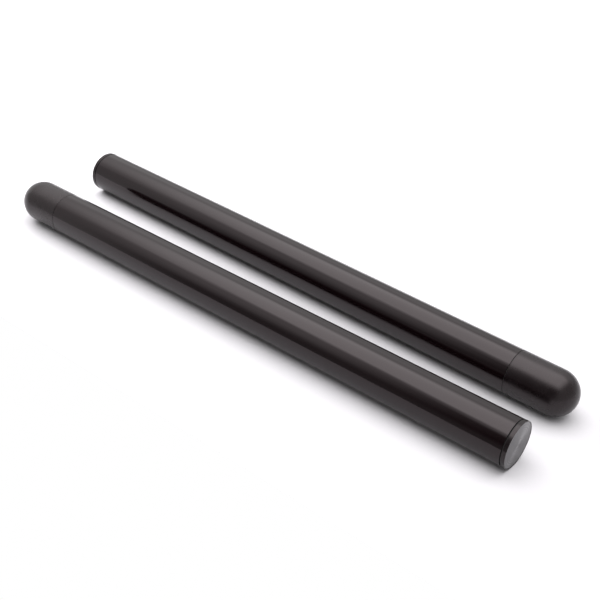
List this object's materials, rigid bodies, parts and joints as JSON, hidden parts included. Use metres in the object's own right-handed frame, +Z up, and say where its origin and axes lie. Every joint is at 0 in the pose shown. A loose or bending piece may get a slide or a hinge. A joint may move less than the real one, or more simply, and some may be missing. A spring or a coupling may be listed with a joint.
{
  "type": "focus training sticks",
  "caption": "Padded striking-target sticks for boxing and martial arts: long round black batons, each with a domed matte tip and a flat capped end.",
  "frame": {"origin": "centre of the rectangle that the pair covers, on the surface that the sticks lie on", "axes": "+X along stick a from its domed tip to its flat end, +Y from stick a to stick b, +Z up"},
  "size_m": [0.6132, 0.1424, 0.043],
  "materials": {
    "skin": "satin",
    "tip_rubber": "matte",
    "cap": "satin",
    "disc": "satin",
    "gasket": "matte",
    "foam": "matte",
    "core": "satin",
    "plug": "satin",
    "screw": "satin"
  },
  "bodies": {
    "stick_a": {"stick_a_outer_skin": "skin", "stick_a_foam_sleeve": "foam", "stick_a_core_tube": "core", "stick_a_tip_cap": "tip_rubber", "stick_a_tip_cushion": "foam", "stick_a_tip_ferrule": "plug", "stick_a_tip_bung": "plug", "stick_a_butt_cap": "cap", "stick_a_butt_disc": "disc", "stick_a_butt_gasket": "gasket", "stick_a_butt_bung": "plug", "stick_a_butt_screw": "screw"},
    "stick_b": {"stick_b_outer_skin": "skin", "stick_b_foam_sleeve": "foam", "stick_b_core_tube": "core", "stick_b_tip_cap": "tip_rubber", "stick_b_tip_cushion": "foam", "stick_b_tip_ferrule": "plug", "stick_b_tip_bung": "plug", "stick_b_butt_cap": "cap", "stick_b_butt_disc": "disc", "stick_b_butt_gasket": "gasket", "stick_b_butt_bung": "plug", "stick_b_butt_screw": "screw"}
  },
  "joints": [
    {"name": "stick_b_lift", "type": "slide", "parent": "stick_a", "child": "stick_b", "axis": [0, 0, 1], "range_m": [0, 0.35]}
  ]
}
